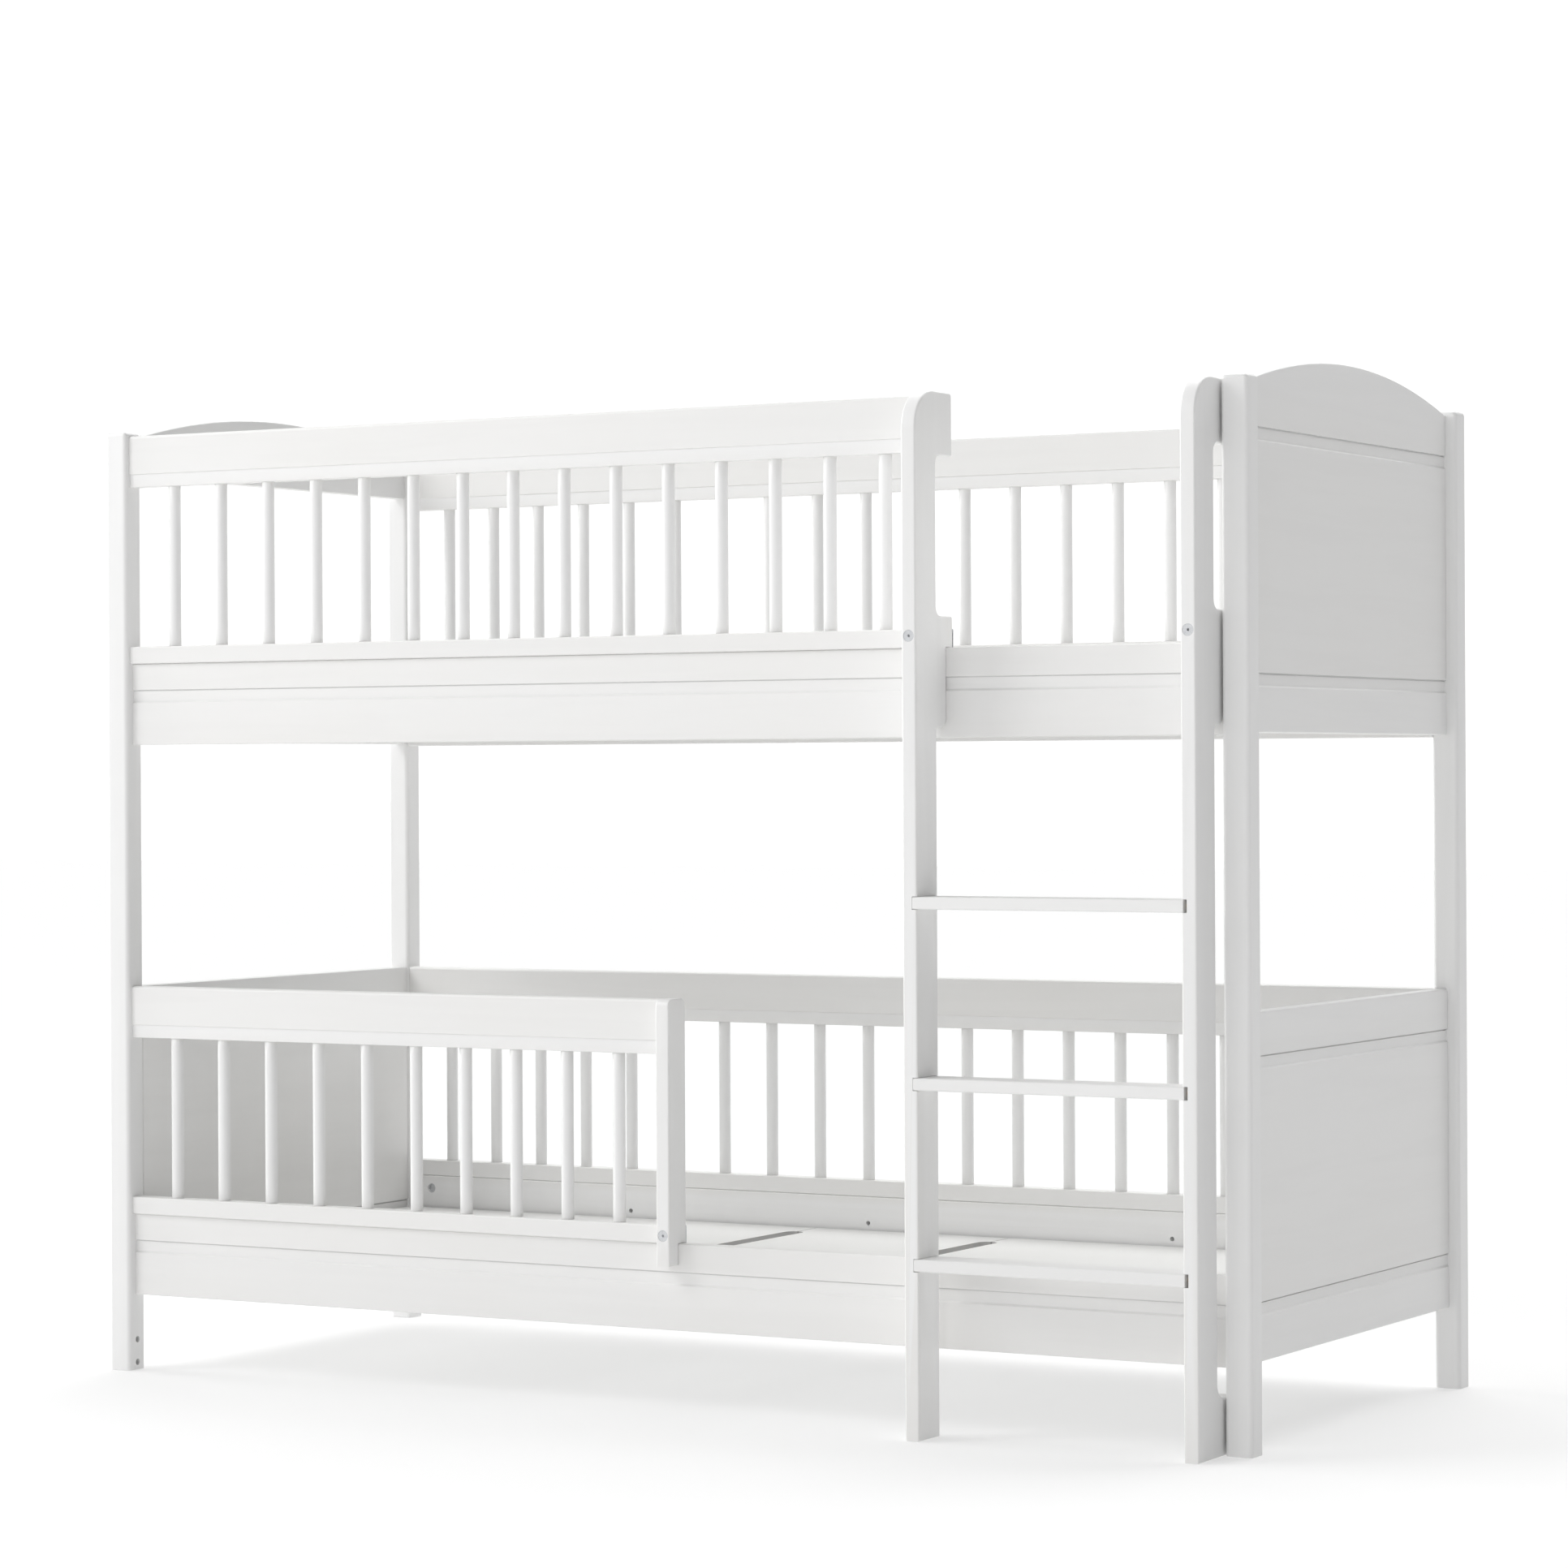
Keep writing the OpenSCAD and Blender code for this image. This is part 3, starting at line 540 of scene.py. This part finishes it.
lo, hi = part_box("newel")
rail_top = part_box("rail_lower_front")[1].z
rail_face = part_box("rail_lower_front")[0].y
r = newel_round
outline = ([(lo.y, lo.z), (rail_face, lo.z), (rail_face, rail_top), (hi.y, rail_top)]
           + arc(hi.y - r, hi.z - r, r, 0, 90, 6) + arc(lo.y + r, hi.z - r, r, 90, 180, 6))
newel = stock("newel_board", outline, "x", lo.x, hi.x, ease=newel_ease)
cut(newel, [clamp_seat_cutter((lo.x + hi.x) / 2, lo.y, rail_top + newel_bolt_rise)])
fit_out(newel, "newel", lacquer_upright)

# ---------------------------------------------------------------- ladder
# Two boards hook over the upper side rail, lap its face and run to the floor; the right one has
# a foot that bolts to the post. A cut-out behind each makes a grip, and three treads sit in
# housings that are open at the front.
leg_depth = 57 * MM
hook_height = 40 * MM
head_height = 80 * MM
lap_drop = 102 * MM
foot_height = 72 * MM
cove_radius = 12 * MM
foot_cove = 18 * MM
lap_lip = 6 * MM
lap_cove = 14 * MM
hook_ease = 3 * MM
crown_back = 4 * MM
crown_front = 50 * MM
upright_ease = 2.4 * MM
ladder_bolt_rise = 13 * MM
tread_heights = [228 * MM + i * 226.5 * MM for i in range(3)]
tread_ease = 2.5 * MM
tread_end_ease = 0.6 * MM
housing = 7 * MM
housing_depth = 50.6 * MM
housing_below, housing_above = 16.3 * MM, 0.3 * MM


def upright_outline(lo, hi, foot):
    """Outline in (y, z), from the front of the foot round by the back."""
    front, back, top = lo.y, hi.y, hi.z
    leg = front + leg_depth
    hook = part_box("rail_upper_front")[1].z
    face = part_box("rail_upper_front")[0].y
    lap = hook - lap_drop
    grip_foot, grip_top = hook + hook_height, top - head_height
    c = cove_radius
    if foot:
        start = ([(front, 0), (back, 0), (back, foot_height)]
                 + arc(leg + foot_cove, foot_height + foot_cove, foot_cove, 270, 180, 6))
    else:
        start = [(front, 0), (leg, 0)]
    return (start + arc(leg + lap_lip, lap - lap_lip, lap_lip, 180, 90, 4)
            + arc(face - lap_cove, lap + lap_cove, lap_cove, -90, 0, 6)
            + [(face, hook), (back, hook)]
            + arc(back - hook_ease, grip_foot - hook_ease, hook_ease, 0, 90, 3)
            + arc(leg + c, grip_foot + c, c, 270, 180, 6)
            + arc(leg + c, grip_top - c, c, 180, 90, 6)
            + arc(back - hook_ease, grip_top + hook_ease, hook_ease, -90, 0, 3)
            + arc(back - crown_back, top - crown_back, crown_back, 0, 90, 3)
            + arc(front + crown_front, top - crown_front, crown_front, 90, 180, 14))


for end in ("left", "right"):
    node = "upright_" + end
    lo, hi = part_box(node)
    outline = upright_outline(lo, hi, end == "right")
    board = stock("ladder_" + node, outline, "x", lo.x, hi.x, ease=upright_ease)
    bolt_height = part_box("rail_upper_front")[1].z + ladder_bolt_rise
    cutters = [clamp_seat_cutter((lo.x + hi.x) / 2, lo.y, bolt_height)]
    x0, x1 = (hi.x - housing, hi.x + MM) if end == "left" else (lo.x - MM, lo.x + housing)
    for height in tread_heights:
        cutters.append(block((x0, lo.y - MM, height - housing_below),
                             (x1, lo.y + housing_depth, height + housing_above)))
    cut(board, cutters)
    fit_out(board, node, lacquer_upright)
for i in (1, 2, 3):
    lo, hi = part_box(f"rung_{i}")
    section = rounded_box((lo.y, lo.z), (hi.y, hi.z), tread_ease, 4)
    tread = stock(f"ladder_tread_{i}", section, "x", lo.x, hi.x, ease=tread_end_ease)
    fit_out(tread, f"rung_{i}", lacquer_along)

# ---------------------------------------------------------------- deck boards
# Thin boards with a smooth white face lie loose on the ledgers, three to a bunk. An air slot is
# routed into each joint; the routed and sawn edge faces are painted dark grey as painted shade for the
# slots.
board_white, board_tree, board_shader = new_material("deck board")
board_place = board_tree.nodes.new("ShaderNodeTexCoord")
board_speck = node_of(board_tree, "ShaderNodeTexNoise", {"Vector": board_place.outputs["Object"],
                                                         "Scale": 900.0, "Detail": 2.0})
board_haze = node_of(board_tree, "ShaderNodeTexNoise", {"Vector": board_place.outputs["Object"],
                                                        "Scale": 2.2, "Detail": 4.0})
board_mix = node_of(board_tree, "ShaderNodeMath", {0: board_speck.outputs["Fac"], 1: 0.35,
                                                   2: board_haze.outputs["Fac"]},
                    operation="MULTIPLY_ADD")
board_tone = node_of(board_tree, "ShaderNodeValToRGB", {"Fac": board_mix.outputs["Value"]})
board_tone.color_ramp.elements[0].position = 0.35
board_tone.color_ramp.elements[0].color = (0.77, 0.77, 0.755, 1)
board_tone.color_ramp.elements[1].position = 0.9
board_tone.color_ramp.elements[1].color = (0.82, 0.82, 0.81, 1)
board_bump = node_of(board_tree, "ShaderNodeBump", {"Strength": 0.15, "Distance": 0.0003,
                                                    "Height": board_speck.outputs["Fac"]})
# painted shade: faces steep to the board (slot walls and sawn edges) get a dark grey for the shadow in the
# slots, the top face keeps its pale tone
board_side = node_of(board_tree, "ShaderNodeSeparateXYZ", {"Vector": board_place.outputs["Normal"]})
board_flat = node_of(board_tree, "ShaderNodeMath", {0: board_side.outputs["Z"]}, operation="ABSOLUTE")
board_edge_shade_mask = node_of(board_tree, "ShaderNodeMapRange", {"Value": board_flat.outputs["Value"],
                                                        "From Min": 0.3, "From Max": 0.8})
board_painted_edge_shade = node_of(board_tree, "ShaderNodeValToRGB", {"Fac": board_speck.outputs["Fac"]})
board_painted_edge_shade.color_ramp.elements[0].color = (0.36, 0.355, 0.35, 1)
board_painted_edge_shade.color_ramp.elements[1].color = (0.48, 0.475, 0.465, 1)
board_coat_with_edge_shade = node_of(board_tree, "ShaderNodeMix", {"Factor": board_edge_shade_mask.outputs["Result"]},
                     data_type="RGBA")
board_tree.links.new(board_painted_edge_shade.outputs["Color"], board_coat_with_edge_shade.inputs[colour_a])
board_tree.links.new(board_tone.outputs["Color"], board_coat_with_edge_shade.inputs[colour_b])
board_tree.links.new(board_coat_with_edge_shade.outputs[colour_out], board_shader.inputs["Base Color"])
board_tree.links.new(board_bump.outputs["Normal"], board_shader.inputs["Normal"])
board_shader.inputs["Roughness"].default_value = 0.55

# ---------------------------------------------------------------- fittings
# Zinc-plated clamp bolts with a hexagon socket in a flat head, their oblong plates and hexagon
# nuts, studs and barrel nuts in the rails, foot bolts with spacers, and screws through the ledgers.
zinc, zinc_tree, zinc_shader = new_material("zinc plate")
zinc_place = zinc_tree.nodes.new("ShaderNodeTexCoord")
zinc_brush = node_of(zinc_tree, "ShaderNodeTexNoise", {"Vector": zinc_place.outputs["Object"],
                                                       "Scale": 900.0, "Detail": 2.0})
zinc_spangle = node_of(zinc_tree, "ShaderNodeTexVoronoi", {"Vector": zinc_place.outputs["Object"],
                                                           "Scale": 350.0})
zinc_tone = node_of(zinc_tree, "ShaderNodeMix", {"Factor": zinc_spangle.outputs["Distance"]},
                    data_type="RGBA")
zinc_tone.inputs[colour_a].default_value = (0.66, 0.67, 0.68, 1)
zinc_tone.inputs[colour_b].default_value = (0.54, 0.55, 0.57, 1)
zinc_rough = node_of(zinc_tree, "ShaderNodeMapRange", {"Value": zinc_brush.outputs["Fac"],
                                                       "To Min": 0.26, "To Max": 0.46})
zinc_bump = node_of(zinc_tree, "ShaderNodeBump", {"Strength": 0.2, "Distance": 0.0001,
                                                  "Height": zinc_brush.outputs["Fac"]})
zinc_tree.links.new(zinc_tone.outputs[colour_out], zinc_shader.inputs["Base Color"])
zinc_tree.links.new(zinc_rough.outputs["Result"], zinc_shader.inputs["Roughness"])
zinc_tree.links.new(zinc_bump.outputs["Normal"], zinc_shader.inputs["Normal"])
zinc_shader.inputs["Metallic"].default_value = 1.0

# glued dowels of raw beech
beech, beech_tree, beech_shader = new_material("raw beech")
beech_place = beech_tree.nodes.new("ShaderNodeTexCoord")
beech_flow = node_of(beech_tree, "ShaderNodeMapping", {"Vector": beech_place.outputs["Object"],
                                                       "Scale": (0.1, 1.0, 1.0)})
beech_grain = node_of(beech_tree, "ShaderNodeTexNoise", {"Vector": beech_flow.outputs["Vector"],
                                                         "Scale": 400.0, "Detail": 5.0})
beech_tone = node_of(beech_tree, "ShaderNodeValToRGB", {"Fac": beech_grain.outputs["Fac"]})
beech_tone.color_ramp.elements[0].color = (0.50, 0.33, 0.18, 1)
beech_tone.color_ramp.elements[1].color = (0.68, 0.50, 0.31, 1)
beech_tree.links.new(beech_tone.outputs["Color"], beech_shader.inputs["Base Color"])
beech_shader.inputs["Roughness"].default_value = 0.7

for name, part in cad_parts.items():
    if name.startswith("deck_"):
        finish = board_white
    elif name.startswith("ledger_") and not name.endswith("screws"):
        finish = lacquer_along
    elif name.endswith("dowels"):
        finish = beech
    elif name in ("rail_studs", "rail_barrels", "clamp_bolts", "clamp_plates", "clamp_nuts", "foot_bolts",
                  "foot_spacers", "ledger_screws"):
        finish = zinc
    else:
        continue
    part.data.materials.clear()
    part.data.materials.append(finish)

# ---------------------------------------------------------------- floor and light
# A plain pale floor that glows a little, as an overlit paper sweep does, wide walls of light behind
# and to the left, weaker ones in front, and an even white surround.
floor_mesh = bpy.data.meshes.new("floor")
floor_reach = 30.0
corners = [(x * floor_reach, y * floor_reach, 0) for x, y in ((-1, -1), (1, -1), (1, 1), (-1, 1))]
floor_mesh.from_pydata(corners, [], [(0, 1, 2, 3)])
floor = bpy.data.objects.new("floor", floor_mesh)
bpy.context.scene.collection.objects.link(floor)
floor.location.z = -0.5 * MM
pale, _, pale_shader = new_material("pale floor")
pale_shader.inputs["Base Color"].default_value = (0.55, 0.55, 0.55, 1)
pale_shader.inputs["Roughness"].default_value = 0.9
pale_shader.inputs["Specular IOR Level"].default_value = 0.0
pale_shader.inputs["Emission Color"].default_value = (1, 1, 1, 1)
pale_shader.inputs["Emission Strength"].default_value = 0.45
floor_mesh.materials.append(pale)

world = bpy.data.worlds.new("studio")
bpy.context.scene.world = world
world.use_nodes = True
sky = world.node_tree
seen = sky.nodes["Background"]
seen.inputs["Color"].default_value = (1, 1, 1, 1)
seen.inputs["Strength"].default_value = 1.1
lighting = node_of(sky, "ShaderNodeBackground", {"Color": (1, 1, 1, 1), "Strength": 0.16})
path = sky.nodes.new("ShaderNodeLightPath")
seen_share = node_of(sky, "ShaderNodeMath", {0: path.outputs["Is Glossy Ray"], 1: 0.55,
                                                 2: path.outputs["Is Camera Ray"]},
                         operation="MULTIPLY_ADD")
choice = node_of(sky, "ShaderNodeMixShader", {0: seen_share.outputs["Value"],
                                              1: lighting.outputs["Background"],
                                              2: seen.outputs["Background"]})
sky.links.new(choice.outputs["Shader"], sky.nodes["World Output"].inputs["Surface"])


def soft_light(name, place, size, power):
    """A round softbox that faces the middle of the bed."""
    data = bpy.data.lights.new(name, "AREA")
    data.shape = "DISK"
    data.size = size
    data.energy = power
    lamp = bpy.data.objects.new(name, data)
    bpy.context.scene.collection.objects.link(lamp)
    look = Vector((0, 0, 0.6)) - Vector(place)
    lamp.matrix_world = Matrix.Translation(place) @ look.to_track_quat("-Z", "Y").to_matrix().to_4x4()


def far_light(name, around, up, spread, strength):
    """A wide wall of light, as an even lamp from one direction, angles in degrees."""
    data = bpy.data.lights.new(name, "SUN")
    data.angle = radians(spread)
    data.energy = strength
    lamp = bpy.data.objects.new(name, data)
    bpy.context.scene.collection.objects.link(lamp)
    turn, rise = radians(around), radians(up)
    look = -Vector((cos(rise) * cos(turn), cos(rise) * sin(turn), sin(rise)))
    lamp.matrix_world = look.to_track_quat("-Z", "Y").to_matrix().to_4x4()


far_light("behind and above", 90, 55, 60, 2.1)
far_light("left, low", 180, 10, 30, 1.8)
far_light("front left and above", -165, 45, 50, 0.48)
far_light("front", -90, 25, 50, 0.65)
soft_light("left softbox", (-3.0, -3.0, 3.6), 2.6, 72)

bpy.context.scene.view_settings.view_transform = "Standard"
bpy.context.scene.view_settings.look = "None"
